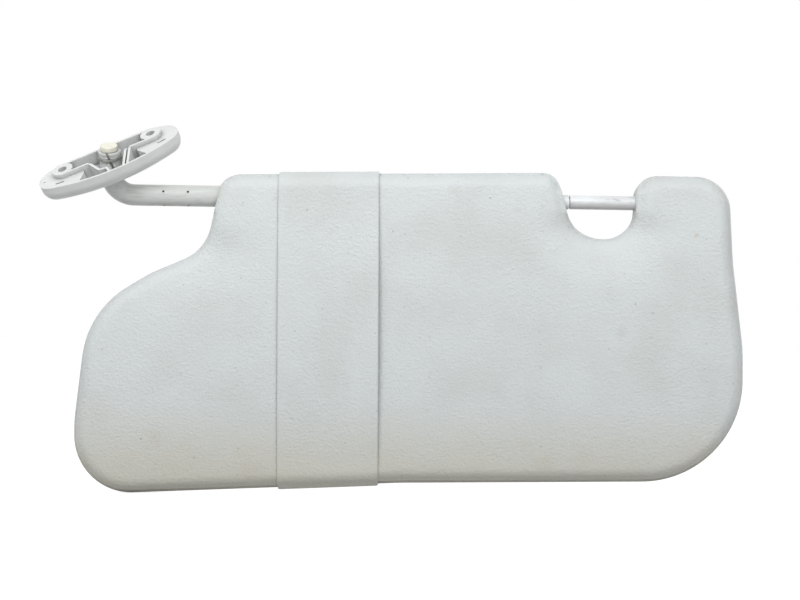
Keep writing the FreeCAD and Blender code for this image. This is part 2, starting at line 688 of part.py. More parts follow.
def skins():
    """Front and back vinyl skins, welded along the lip and drawn into a mouth round each opening."""
    outside = slab(SEAM_LIP, half, EDGE_ROUND).fuse(plate(0, LIP_THICKNESS / 2))
    outline = plate(0, half)
    outside = outside.fuse([mouth.common(outline) for mouth in openings(SKIN)])
    hollow = slab(skin_back, half - SKIN, EDGE_ROUND - SKIN)
    shell = outside.cut([hollow] + openings(0))
    return shell.common(half_space(True)), shell.common(half_space(False))


def pads():
    """Foam halves that fill the skins, with channels for what they enclose."""
    foam = slab(skin_back + CLEAR, pad_half, EDGE_ROUND - SKIN - CLEAR)
    cuts = openings(0) + [
        panel_box(CARRIER_X - CLEAR, carrier_end + CLEAR, CARRIER_DEPTH / 2 + CLEAR,
                  -CARRIER_BOTTOM - CLEAR, CARRIER_TOP + CLEAR),
        wire_solid(WIRE_D / 2 + CLEAR),
        block_box(left_block_end - BLOCK[0], CLEAR),
        block_box(right_block_start, CLEAR),
    ]
    foam = foam.cut(cuts)
    return foam.common(half_space(True)), foam.common(half_space(False))


def ticket_strap():
    """Flat vinyl band right round the panel."""
    gap = SEAM_LIP * 0.2
    inner_half = half + gap
    outer = slab(-gap - STRAP, inner_half + STRAP, EDGE_ROUND + STRAP)
    inner = slab(-gap, inner_half, EDGE_ROUND)
    band = outer.cut(inner)
    low = -PANEL_LOW - PANEL_THICKNESS
    high = PANEL_HIGH + PANEL_THICKNESS
    return band.common(panel_box(STRAP_X, STRAP_X + STRAP_WIDTH, PANEL_THICKNESS, low, high))


if __name__ == "__main__":
    save(roof_bracket(), "roof_bracket")
    save(boss_ring(), "boss_ring")
    save(arm_rod(), "arm_rod")
    save(arm_sleeve(), "arm_sleeve")
    save(rod_retainer(), "rod_retainer")
    save(swivel_bush(), "swivel_bush")
    save(thrust_washer(), "thrust_washer")
    save(swivel_cap(), "swivel_cap")
    save(wire_solid(WIRE_D / 2), "wire_frame")
    save(hinge_carrier(), "hinge_carrier")
    save(detent_spring(), "detent_spring")
    for number, x in enumerate(rivet_places(), 1):
        save(spring_rivet(x), "spring_rivet_" + str(number))
    save(clip_pin(), "clip_pin")
    save(pin_block_left(), "pin_block_left")
    save(pin_block_right(), "pin_block_right")
    front_skin, back_skin = skins()
    save(front_skin, "front_skin")
    save(back_skin, "back_skin")
    front_pad, back_pad = pads()
    save(front_pad, "front_pad")
    save(back_pad, "back_pad")
    save(ticket_strap(), "ticket_strap")
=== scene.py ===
import math

import bmesh
import bpy
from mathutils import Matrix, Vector, geometry, kdtree, noise


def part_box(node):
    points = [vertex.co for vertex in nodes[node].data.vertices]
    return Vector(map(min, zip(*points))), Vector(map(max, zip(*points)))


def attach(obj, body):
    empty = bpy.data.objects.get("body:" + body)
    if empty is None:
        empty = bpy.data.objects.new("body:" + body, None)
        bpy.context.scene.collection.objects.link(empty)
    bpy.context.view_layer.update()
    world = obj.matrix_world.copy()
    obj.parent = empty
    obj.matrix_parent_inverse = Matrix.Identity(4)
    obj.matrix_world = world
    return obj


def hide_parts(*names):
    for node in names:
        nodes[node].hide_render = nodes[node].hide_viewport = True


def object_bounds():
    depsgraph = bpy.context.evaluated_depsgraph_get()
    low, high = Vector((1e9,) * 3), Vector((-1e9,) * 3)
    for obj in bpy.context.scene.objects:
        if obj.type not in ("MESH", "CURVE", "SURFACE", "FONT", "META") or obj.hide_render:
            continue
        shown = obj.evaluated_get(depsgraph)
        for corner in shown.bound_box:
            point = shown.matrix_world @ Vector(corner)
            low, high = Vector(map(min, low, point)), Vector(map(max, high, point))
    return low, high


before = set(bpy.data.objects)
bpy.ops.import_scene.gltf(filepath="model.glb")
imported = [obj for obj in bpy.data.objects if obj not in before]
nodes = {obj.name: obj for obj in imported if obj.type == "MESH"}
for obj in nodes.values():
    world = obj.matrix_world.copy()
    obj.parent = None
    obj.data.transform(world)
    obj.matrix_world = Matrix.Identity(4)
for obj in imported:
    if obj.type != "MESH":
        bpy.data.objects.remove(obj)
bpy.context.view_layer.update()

# The frame inside the panel: steel wire, drawn, bent and zinc plated, on which the whole panel
# hangs, with the spring strip and its rivets, which hold the panel at any angle on the arm.
# Sizes in this script are millimetres from the rod's axis: x along it, z up, y to the back.
# Drawing leaves fine lines along the wire, and the plating gives it a soft grey gloss.
MM = 0.001
pin_low, pin_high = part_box("clip_pin")
axis_y = (pin_low.y + pin_high.y) / 2
axis_z = (pin_low.z + pin_high.z) / 2
ZINC = "b9b7b0"
ZINC_DULL = "8f8f8c"
SPRING_STEEL = "8d9094"
NOISE_SPAN = {"From Min": 0.3, "From Max": 0.7}  # values that a noise texture mostly has
LINE_GLOSS = (-0.08, 0.12)


def at(x, y, z):
    """Point in the row frame, in metres, of a place beside the rod's axis."""
    return Vector((x * MM, axis_y + y * MM, axis_z + z * MM))


def shade(hex_colour):
    """An sRGB hex value as the linear colour that the shaders take."""
    parts = [int(hex_colour[i:i + 2], 16) / 255 for i in (0, 2, 4)]
    return [p / 12.92 if p <= 0.04045 else ((p + 0.055) / 1.055) ** 2.4 for p in parts] + [1]


def add(tree, kind, sockets=(), **settings):
    """Adds a node with its settings, then gives the sockets it shows a value or a link."""
    node = tree.nodes.new("ShaderNode" + kind)
    for name, value in settings.items():
        setattr(node, name, value)
    shown = [socket for socket in node.inputs if socket.enabled]
    for key, value in dict(sockets).items():
        socket = shown[key] if isinstance(key, int) else next(s for s in shown if s.name == key)
        if isinstance(value, bpy.types.Node):
            value = next(output for output in value.outputs if output.enabled)
        if isinstance(value, bpy.types.NodeSocket):
            tree.links.new(value, socket)
        else:
            socket.default_value = value
    return node


def new_material(name):
    """A material with an empty node tree, and a place in it in millimetres from the axis."""
    material = bpy.data.materials.new(name)
    material.use_nodes = True
    tree = material.node_tree
    tree.nodes.clear()
    metres = add(tree, "TexCoord").outputs["Object"]
    moved = add(tree, "VectorMath", {0: metres, 1: (0, axis_y, axis_z)}, operation="SUBTRACT")
    return material, tree, add(tree, "VectorMath", {0: moved, "Scale": 1 / MM}, operation="SCALE")


def steel(name, colour, roughness, line):
    """Plated or bright steel with drawing lines, whose length, depth and height are given."""
    material, tree, place = new_material(name)
    sizes = [1 / size for size in line]
    along = add(tree, "VectorMath", {0: place, 1: sizes}, operation="MULTIPLY")
    lines = add(tree, "TexNoise", {"Vector": along, "Scale": 1.0, "Detail": 3.0})
    mixed = {"Factor": lines, "A": shade(colour), "B": shade(ZINC_DULL)}
    colour = add(tree, "Mix", mixed, data_type="RGBA")
    low, high = (roughness + change for change in LINE_GLOSS)
    rough = add(tree, "MapRange", {"Value": lines, **NOISE_SPAN, "To Min": low, "To Max": high})
    finish = {"Base Color": colour, "Roughness": rough, "Metallic": 1.0}
    add(tree, "OutputMaterial", {"Surface": add(tree, "BsdfPrincipled", finish)})
    return material


def dress(piece, material):
    """Gives the piece one material."""
    piece.data.materials.clear()
    piece.data.materials.append(material)


zinc_plated_wire = steel("zinc_plated_wire", ZINC, 0.35, (2.0, 0.15, 0.15))
dress(nodes["wire_frame"], zinc_plated_wire)
dress(nodes["detent_spring"], steel("spring_steel_strip", SPRING_STEEL, 0.3, (0.15, 1.5, 1.5)))
for node in ("spring_rivet_1", "spring_rivet_2"):
    dress(nodes[node], steel("zinc_plated_" + node, ZINC, 0.35, (0.4, 0.4, 0.4)))

# The hinge carrier and the pin's right block: glass-filled nylon and ABS, moulded, then pressed
# on the wire. Moulding leaves a satin skin. Corners are darkened: painted shade, and grime that no
# cloth reaches.
CARRIER = "4b4d50"
# These grime colours also serve as the painted shade in corners
CARRIER_GRIME_AND_SHADE = "2c2c2c"
BLOCK = "d8d8d4"
PALE_GRIME_AND_SHADE = "9d9d98"
SKIN = 0.5
SKIN_DEPTH = 0.02
SKIN_GLOSS = (-0.06, 0.1)
MOULD_EDGE = 0.3
STREAK_SPAN = {"From Min": 0.48, "From Max": 0.74}
CORNER_SHADE_REACH = 4.0
CORNER_SHADE_SPAN = {"From Min": 0.25, "From Max": 0.95}


def moulded(name, colour, grime_and_shade, roughness, streak, streaked, corner_shade):
    """Moulded plastic: streaks of grime of a given size and strength, and corners darkened by
    painted shade and grime.
    """
    material, tree, place = new_material(name)
    sizes = [1 / size for size in streak]
    along = add(tree, "VectorMath", {0: place, 1: sizes}, operation="MULTIPLY")
    streaks = add(tree, "TexNoise", {"Vector": along, "Scale": 1.0, "Detail": 5.0})
    dirt_and_shade = add(tree, "MapRange", {"Value": streaks, **STREAK_SPAN, "To Max": streaked})
    # Corners that the ambient occlusion finds enclosed are darkened: painted shade, with some
    # grime
    openness = add(tree, "AmbientOcclusion", {"Distance": CORNER_SHADE_REACH * MM}, samples=6)
    limits = {**CORNER_SHADE_SPAN, "To Min": corner_shade, "To Max": 0.0}
    painted_corner_shade = add(tree, "MapRange", {"Value": openness.outputs["AO"], **limits})
    dirt_and_shade = add(tree, "Math", {0: dirt_and_shade, 1: painted_corner_shade}, operation="MAXIMUM")
    mixed = {"Factor": dirt_and_shade, "A": shade(colour), "B": shade(grime_and_shade)}
    colour = add(tree, "Mix", mixed, data_type="RGBA")
    low, high = (roughness + change for change in SKIN_GLOSS)
    rough = add(tree, "MapRange", {"Value": streaks, **NOISE_SPAN, "To Min": low, "To Max": high})
    skin = add(tree, "TexNoise", {"Vector": place, "Scale": 1 / SKIN, "Detail": 3.0})
    edge = add(tree, "Bevel", {"Radius": MOULD_EDGE * MM}, samples=4)
    bump = add(tree, "Bump", {"Height": skin, "Distance": SKIN_DEPTH * MM, "Normal": edge})
    finish = {"Base Color": colour, "Roughness": rough, "IOR": 1.5, "Normal": bump}
    add(tree, "OutputMaterial", {"Surface": add(tree, "BsdfPrincipled", finish)})
    return material


carrier_nylon = moulded("moulded_nylon_carrier", CARRIER, CARRIER_GRIME_AND_SHADE, 0.5, (3, 3, 3), 0.2, 0.3)
block_abs = moulded("moulded_abs_block", BLOCK, PALE_GRIME_AND_SHADE, 0.4, (3, 3, 3), 0.2, 0.4)
dress(nodes["hinge_carrier"], carrier_nylon)
dress(nodes["pin_block_right"], block_abs)

# The panel's two covers: PVC sheet drawn over foam, front and back, and welded together round
# the edge. The weld stands out as a thin lip. The foam is thinner below the notch and beside
# the arm, and the ticket strap presses a shallow bed in it.
PANEL_CORNERS = [  # clockwise from the arm: x, height above the axis, corner radius
    (72.2, 13.8, 12.5),
    (279.4, 18.2, 10.7),
    (290.3, -23.2, 23.8),
    (329.3, -22.5, 19.4),
    (328.6, 17.2, 13.8),
    (387.5, 17.2, 21.9),
    (390.9, -35.7, 125.4),
    (398.1, -90.8, 125.4),
    (399.4, -172.9, 63.3),
    (184.8, -177.5, 188.1),
    (-19.2, -188.3, 35.7),
    (-19.9, -141.7, 94.0),
    (-12.6, -73.2, 59.6),
    (25.9, -49.1, 62.7),
    (60.5, -33.9, 29.5),
]
CORNER_SHARE = 0.98  # of a straight run that the arcs at its two ends may take
OUTLINE_STEP = 1.3
FACE_STEP = 3.0
HALF_THICKNESS = 9.0
EDGE_ROUND = 8.0
SEAM_LIP = 1.5
LIP_HALF = 0.8
LIP_STEP = 0.1
SEAM_GAP = 0.1
RING_INSETS = (0.0, 0.3, 1.3, 1.5, 1.8, 2.3, 3.0, 4.0, 5.2, 6.6, 8.1, 9.5)
SOFT_FROM, SOFT_FULL = 2.0, 20.0  # depth inside the outline
CROWN = 1.1
CROWN_FROM = 3.0
CROWN_RUN = 26.0
WAVE = 0.35
WAVE_LENGTH = 52.0
WAVE_LAYER = 5
SLOPES = (  # x and z of the opening's middle, radius, share lost, run, z of its start and its full
    (309.0, -2.0, 21.0, 0.7, 34.0, -4.0, -22.0),
    (38.0, -8.0, 36.0, 0.42, 40.0, -16.0, -38.0),
)
MOUTHS = (  # x of the opening, half its length, radius of what it holds, reach above and below
    (66.0, 14.0, 8.15, 17.0, 44.0),
    (284.0, 12.0, 6.3, 15.0, 20.0),
    (329.0, 12.0, 6.1, 15.0, 20.0),
)
MOUTH_FADE = 6.0
MOUTH_BLEND = 0.25
BLUNT_SHARE = 0.3
BLUNT_RUN = 5.0
BLUNT_DEPTH = 2.5
STRAP_X = 106.0
STRAP_WIDTH = 62.7
STRAP_TOP = 16.0
STRAP_LEAN = 0.012
BED_SINK = 0.7
BED_LINES = (-3.0, -2.2, -1.4, -0.7, 0.0, 0.8)
BED_CLEAR = 3.8
# Offset of the dark line beside the strap's edges: grime, and painted shade
BED_GRIME_AND_SHADE = 0.9
COVER_CREASE = 50
INSIDE_ONLY = 1
SAME_SPOT = 1e-4


def smooth_step(low, high, value):
    """0 up to low, 1 from high on, and an even slope between them, which may also run down."""
    t = min(max((value - low) / (high - low), 0), 1)
    return t * t * (3 - 2 * t)


def outline_points(corners, step):
    """Points and inward directions along a closed outline whose corners are turned by arcs."""
    count = len(corners)
    spots = [Vector((x, z)) for x, z, _ in corners]
    ahead = [(spots[(i + 1) % count] - spots[i]).normalized() for i in range(count)]
    length = [(spots[(i + 1) % count] - spots[i]).length for i in range(count)]
    turns = [ahead[i - 1].angle_signed(ahead[i]) for i in range(count)]
    reach = [corners[i][2] * math.tan(abs(turns[i]) / 2) for i in range(count)]
    limited = list(reach)
    for i in range(count):
        for other, run in ((i - 1, length[i - 1]), ((i + 1) % count, length[i])):
            both = reach[i] + reach[other]
            if both > CORNER_SHARE * run:
                limited[i] = min(limited[i], CORNER_SHARE * run * reach[i] / both)
    points = []
    for i in range(count):
        radius = limited[i] / math.tan(abs(turns[i]) / 2)
        start = spots[i] - ahead[i - 1] * limited[i]
        inward = Vector((ahead[i - 1].y, -ahead[i - 1].x))
        side = 1 if turns[i] > 0 else -1
        centre = start + inward * radius * side
        parts = max(2, math.ceil(radius * abs(turns[i]) / step))
        for k in range(parts + 1):
            angle = -turns[i] * k / parts
            turned = Vector((
                inward.x * math.cos(angle) - inward.y * math.sin(angle),
                inward.x * math.sin(angle) + inward.y * math.cos(angle),
            ))
            points.append((centre - turned * radius * side, turned))
        end = points[-1][0]
        following = (i + 1) % count
        run_end = spots[following] - ahead[i] * limited[following]
        parts = max(1, math.ceil((run_end - end).length / step))
        for k in range(1, parts):
            points.append((end.lerp(run_end, k / parts), points[-1][1]))
    return points


outline = outline_points(PANEL_CORNERS, OUTLINE_STEP)
edge_finder = kdtree.KDTree(len(outline))
for number, (spot, _) in enumerate(outline):
    edge_finder.insert((spot.x, spot.y, 0), number)
edge_finder.balance()


def board(depth):
    """Half thickness of the padded board at a depth inside its outline, without its soft forms."""
    if depth < SEAM_LIP - LIP_STEP:
        return LIP_HALF
    t = min(max(depth - SEAM_LIP, 0), EDGE_ROUND)
    return HALF_THICKNESS - EDGE_ROUND + math.sqrt(EDGE_ROUND**2 - (EDGE_ROUND - t) ** 2)


def strap_left(z):
    """x of the strap's left edge at a height, since the strap leans a little."""
    return STRAP_X + STRAP_LEAN * (STRAP_TOP - z)


def under_strap(x, z):
    """How far a place lies inside the strap's nearer edge, and below 0 how far beside it."""
    return min(x - strap_left(z), strap_left(z) + STRAP_WIDTH - x)


def softness(x, z, depth, side):
    """What the foam adds to the board: a crown, slow waves, the slopes and the strap's bed."""
    inner = smooth_step(SOFT_FROM, SOFT_FULL, depth)
    rise = CROWN * (1 - math.exp(-max(depth - CROWN_FROM, 0) / CROWN_RUN))
    spot = Vector((x / WAVE_LENGTH, z / WAVE_LENGTH, WAVE_LAYER * side))
    rise += WAVE * inner * noise.noise(spot)
    rise -= BED_SINK * inner * smooth_step(BED_LINES[0], BED_LINES[-1], under_strap(x, z))
    for middle_x, middle_z, radius, lost, run, start, full in SLOPES:
        away = max(math.hypot(x - middle_x, z - middle_z) - radius, 0)
        share = lost * smooth_step(start, full, z) * max(1 - away / run, 0) ** 2
        rise -= share * (board(depth) - LIP_HALF + rise)
    return rise


def mouth(x, z, depth):
    """Height that the cover keeps where it is drawn round the sleeve and the ends of the pin."""
    for middle, half, radius, above, under in MOUTHS:
        if abs(x - middle) < half:
            height = radius * (1 - smooth_step(radius - 1, above if z > 0 else under, abs(z)))
            blunt = BLUNT_SHARE * smooth_step(radius, radius + BLUNT_RUN, abs(z))
            blunt *= 1 - smooth_step(0, BLUNT_DEPTH, depth)
            fade = 1 - smooth_step(half - MOUTH_FADE, half, abs(x - middle))
            return height * (1 - blunt) * fade
    return 0


def cover_height(x, z, depth, side):
    """The board or the mouth, whichever is higher, with a soft change between them."""
    padding = board(depth) + softness(x, z, depth, side)
    around = mouth(x, z, depth)
    return (padding + around + math.hypot(padding - around, MOUTH_BLEND * around)) / 2


def face_places(border):
    """The border, then what fills it: even rows of places, and lines along the strap's edges."""
    rows = FACE_STEP * math.sqrt(3) / 2
    low_x, high_x = min(p.x for p in border), max(p.x for p in border)
    low_z, high_z = min(p.y for p in border), max(p.y for p in border)
    wanted = []
    for row in range(int((high_z - low_z) / rows)):
        z = low_z + row * rows
        for column in range(int((high_x - low_x) / FACE_STEP)):
            x = low_x + (column + row % 2 / 2) * FACE_STEP
            if abs(under_strap(x, z)) > BED_CLEAR:
                wanted.append(Vector((x, z)))
        for line in BED_LINES:
            wanted.append(Vector((strap_left(z) + line, z)))
            wanted.append(Vector((strap_left(z) + STRAP_WIDTH - line, z)))
    places = list(border)
    for place in wanted:
        _, number, depth = edge_finder.find((place.x, place.y, 0))
        inside = (place - outline[number][0]).dot(outline[number][1]) > 0
        if inside and depth > RING_INSETS[-1] + FACE_STEP / 2:
            places.append(place)
    return places


def vinyl_mesh(name, vertices, faces, grime_and_shade_depths, crease):
    """A smooth mesh that is sharp where it turns by more than the crease, in degrees."""
    mesh = bpy.data.meshes.new(name)
    mesh.from_pydata(vertices, [], faces)
    mesh.validate()
    depths = mesh.attributes.new("grime_and_shade_depth", "FLOAT", "POINT")
    depths.data.foreach_set("value", grime_and_shade_depths)
    mesh.shade_smooth()
    mesh.set_sharp_from_angle(angle=math.radians(crease))
    return mesh


def put(name, data):
    """A new object in the scene with this data."""
    piece = bpy.data.objects.new(name, data)
    bpy.context.collection.objects.link(piece)
    return piece


def cover(name, side):
    """One cover with its foam: a closed pillow half, flat on the seam's plane."""
    vertices = []
    faces = []
    grime_and_shade_depths = []
    count = len(outline)

    def add_vertex(x, y, z, depth):
        vertices.append(at(x, side * y, z))
        # Distance from the weld and the strap's edges, where grime and painted shade darken the
        # cover
        grime_and_shade_depths.append(min(depth, abs(under_strap(x, z)) + BED_GRIME_AND_SHADE))
        return len(vertices) - 1

    rings = [[add_vertex(spot.x, SEAM_GAP, spot.y, 0) for spot, _ in outline]]
    for depth in RING_INSETS:
        ring = []
        for spot, inward in outline:
            x, z = spot + inward * depth
            ring.append(add_vertex(x, cover_height(x, z, depth, side), z, depth))
        rings.append(ring)
    for outer, inner in zip(rings, rings[1:]):
        for i in range(count):
            j = (i + 1) % count
            faces.append((outer[i], outer[j], inner[j], inner[i]))

    border = [spot + inward * RING_INSETS[-1] for spot, inward in outline]
    around = [(i, (i + 1) % count) for i in range(count)]
    filled = geometry.delaunay_2d_cdt(face_places(border), around, [], INSIDE_ONLY, SAME_SPOT)
    numbers = []
    for place, source in zip(filled[0], filled[3]):
        if source and source[0] < count:
            numbers.append(rings[-1][source[0]])
            continue
        depth = edge_finder.find((place.x, place.y, 0))[2]
        height = cover_height(place.x, place.y, depth, side)
        numbers.append(add_vertex(place.x, height, place.y, depth))
    for triangle in filled[2]:
        faces.append([numbers[i] for i in reversed(triangle)])

    base = [spot for spot, _ in outline]
    filled = geometry.delaunay_2d_cdt(base, around, [], INSIDE_ONLY, SAME_SPOT)
    for triangle in filled[2]:
        faces.append([rings[0][filled[3][i][0]] for i in triangle])
    if side > 0:
        faces = [tuple(reversed(face)) for face in faces]
    return put(name, vinyl_mesh(name, vertices, faces, grime_and_shade_depths, COVER_CREASE))


front_cover = cover("front_cover", -1)
back_cover = cover("back_cover", 1)
for piece, skin, pad in (
    (front_cover, "front_skin", "front_pad"),
    (back_cover, "back_skin", "back_pad"),
):
    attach(piece, "panel")
    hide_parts(skin, pad)

# Openings in the covers and channels in the foam, cut a little larger than what lies in them:
# the sleeve and the pin, the hinge carrier, the wire frame and the two pin blocks. The cuts
# drop a few thin triangles from the seam's plane, which are filled in again.
OPENING_GAP = 0.5
FOAM_GAP = 0.3
SLEEVE_RADIUS = 6.65
COLLAR_RADIUS = 4.6
SLEEVE_OPENING = 60.0
COLLAR_OPENING = 12.0
RUN_IN = 2.0
STEP_GAP = 0.5
CUTTER_SIDES = 64
WELD_WITHIN = 0.01
SLIVER_SIDES = 4


def round_cutter(radius, x_start, x_end):
    """Closed cylinder on the rod's axis."""
    vertices = []
    for x in (x_start, x_end):
        for k in range(CUTTER_SIDES):
            angle = 2 * math.pi * k / CUTTER_SIDES
            vertices.append(at(x, radius * math.cos(angle), radius * math.sin(angle)))
    near = list(range(CUTTER_SIDES))
    far = [k + CUTTER_SIDES for k in near]
    faces = [near, far[::-1]]
    faces += [(near[k - 1], far[k - 1], far[k], near[k]) for k in near]
    mesh = bpy.data.meshes.new("round_cutter")
    mesh.from_pydata(vertices, [], faces)
    return put("round_cutter", mesh)


def grown_copy(node, gap):
    """The node's solid with its faces moved out by the gap."""
    piece = put("channel_cutter", nodes[node].data.copy())
    weld = piece.modifiers.new("weld", "WELD")
    weld.merge_threshold = WELD_WITHIN * MM
    swell = piece.modifiers.new("swell", "DISPLACE")
    swell.strength = gap * MM
    swell.mid_level = 0
    return piece


sleeve_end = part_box("arm_sleeve")[1].x / MM
carrier_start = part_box("hinge_carrier")[0].x / MM
collar_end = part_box("pin_block_left")[1].x / MM
right_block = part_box("pin_block_right")[0].x / MM
pin_start = pin_low.x / MM
pin_radius = (pin_high.z - pin_low.z) / 2 / MM
pin_cut = pin_start + RUN_IN
cutters = [
    round_cutter(SLEEVE_RADIUS + OPENING_GAP, sleeve_end - SLEEVE_OPENING, carrier_start + 1),
    round_cutter(COLLAR_RADIUS + OPENING_GAP, collar_end - COLLAR_OPENING, pin_cut),
    round_cutter(pin_radius + OPENING_GAP, pin_cut + STEP_GAP, right_block + 1),
]
for node in ("hinge_carrier", "wire_frame", "pin_block_left", "pin_block_right"):
    cutters.append(grown_copy(node, FOAM_GAP))

for piece in (front_cover, back_cover):
    for tool in cutters:
        cut = piece.modifiers.new("opening", "BOOLEAN")
        cut.operation = "DIFFERENCE"
        cut.solver = "EXACT"
        cut.object = tool
bpy.context.view_layer.update()
depsgraph = bpy.context.evaluated_depsgraph_get()
for piece in (front_cover, back_cover):
    piece.data = bpy.data.meshes.new_from_object(piece.evaluated_get(depsgraph))
    piece.modifiers.clear()
    closed = bmesh.new()
    closed.from_mesh(piece.data)
    bmesh.ops.holes_fill(closed, edges=closed.edges, sides=SLIVER_SIDES)
    closed.to_mesh(piece.data)
    closed.free()
for tool in cutters:
    bpy.data.objects.remove(tool)


# Embossed PVC sheet: plasticised vinyl, rolled with a fine leather grain. Pale cool grey with
# a low sheen. Years of use have left it beige along the low edge and the right flank, with
# faint stains, a few pits, and grime in the weld and beside the strap. The low edge is also
# painted darker as shade, and so are the weld and the strap's edges. The real grain is about
# half a millimetre, too fine to show, so it is drawn two to three times as coarse here.
VINYL = "d3d8d9"
# Beige and darker at the low edge: dirt, and painted shade
VINYL_LOW_BEIGE_AND_SHADE = "c9c7bd"
LOW_BAND = (-128.0, -176.0)
VINYL_CLOUD = "c9cdca"
CLOUD = 40.0
CLOUD_SPAN = {"From Min": 0.42, "From Max": 0.7, "To Max": 0.6}
VINYL_ROUGH = {"To Min": 0.52, "To Max": 0.64}
STAIN = "b9a98c"
# Soot colour of the specks and pits, also the painted shade in the weld and beside the strap
SOOT_AND_SHADE = "6f6a60"
GRAIN = 1.5
GRAIN_STRETCH = 1.3
GRAIN_DEPTH = 0.28
FINE_GRAIN = 1.1
FINE_DEPTH = 0.34
CREASE = 2.2
CREASE_STRETCH = 2.5
CREASE_DEPTH = 0.5
PIT_SPACING = 17.0
PIT_SIZE = {"From Min": 0.015, "From Max": 0.045}  # shares of the spacing
PIT_CHOICE = {"From Min": 0.62, "From Max": 0.95}
PIT_DARK = 0.3
PIT_DEPTH = 0.15
# Darkening of the weld and the strap's edges: grime, and painted shade
WELD_GRIME_AND_SHADE = 0.16
WELD_REACH = 2.2
RAGGED = 3.0
RAGGED_SHARE = 0.4
STAIN_CORE = 0.1  # shares of the radius that have the full strength
SPECK_CORE = 0.4
CREASE_CORE = 0.2
FRONT_STAINS = (  # x, z, radius, strength
    (-4, -132, 17, 0.10),
    (32, -151, 8, 0.16),
    (-14, -166, 10, 0.16),
    (91, -171, 8, 0.10),
    (275, -163, 9, 0.14),
    (300, -160, 12, 0.10),
    (262, -152, 6, 0.08),
    (372, -158, 22, 0.12),
    (216, 6, 5, 0.14),
    (190, -28, 4, 0.08),
    (366, -20, 2.2, 0.35),
    (367, -41, 1.6, 0.2),
    (395, -60, 14, 0.12),
    (399, -112, 16, 0.14),
    (384, 8, 12, 0.10),
)
BACK_STAINS = (
    (60, -150, 30, 0.10),
    (330, -60, 22, 0.08),
    (230, -165, 26, 0.12),
    (120, -40, 12, 0.10),
    (392, -90, 18, 0.10),
)
FRONT_SPECKS = (
    (23.7, -151.7, 0.8, 0.5),
    (124.3, -8.2, 0.9, 0.35),
    (177.8, -20.5, 0.7, 0.4),
    (191.3, -37.2, 0.7, 0.3),
    (329.0, -63.1, 0.9, 0.4),
    (339.8, -68.6, 0.7, 0.35),
    (320.5, -80.8, 4.2, 0.10),
    (57.0, -163.0, 0.7, 0.4),
    (313.0, -91.5, 0.8, 0.4),
    (254.0, -6.0, 3.0, 0.07),
)
BACK_SPECKS = ((250, -120, 0.9, 0.4), (40, -100, 0.8, 0.4), (300, -150, 1.0, 0.3))
FRONT_CREASES = (
    (262, -50, 15, 0.3),
    (284, -60, 12, 0.4),
    (336, -61, 12, 0.3),
    (246, -24, 22, 0.2),
)
BACK_CREASES = ((120, -120, 14, 0.3), (310, -70, 16, 0.3))


def marks(tree, flat, spots, fade):
    """How strongly the marks lie on a place: each is round, with a ragged and fading rim."""
    ragged = add(tree, "TexNoise", {"Vector": flat, "Scale": 1 / RAGGED, "Detail": 4.0})
    total = 0.0
    for x, z, radius, strength in spots:
        away = add(tree, "VectorMath", {0: flat, 1: (x, z, 0)}, operation="DISTANCE")
        most = RAGGED_SHARE * radius
        limits = {**NOISE_SPAN, "To Min": -most, "To Max": most}
        rim = add(tree, "MapRange", {"Value": ragged, **limits})
        distance = add(tree, "Math", {0: away, 1: rim}, operation="ADD")
        limits = {"From Min": radius * fade, "From Max": radius, "To Min": strength, "To Max": 0.0}
        mark = add(tree, "MapRange", {"Value": distance, **limits})
        total = add(tree, "Math", {0: mark, 1: total}, operation="MAXIMUM")
    return total


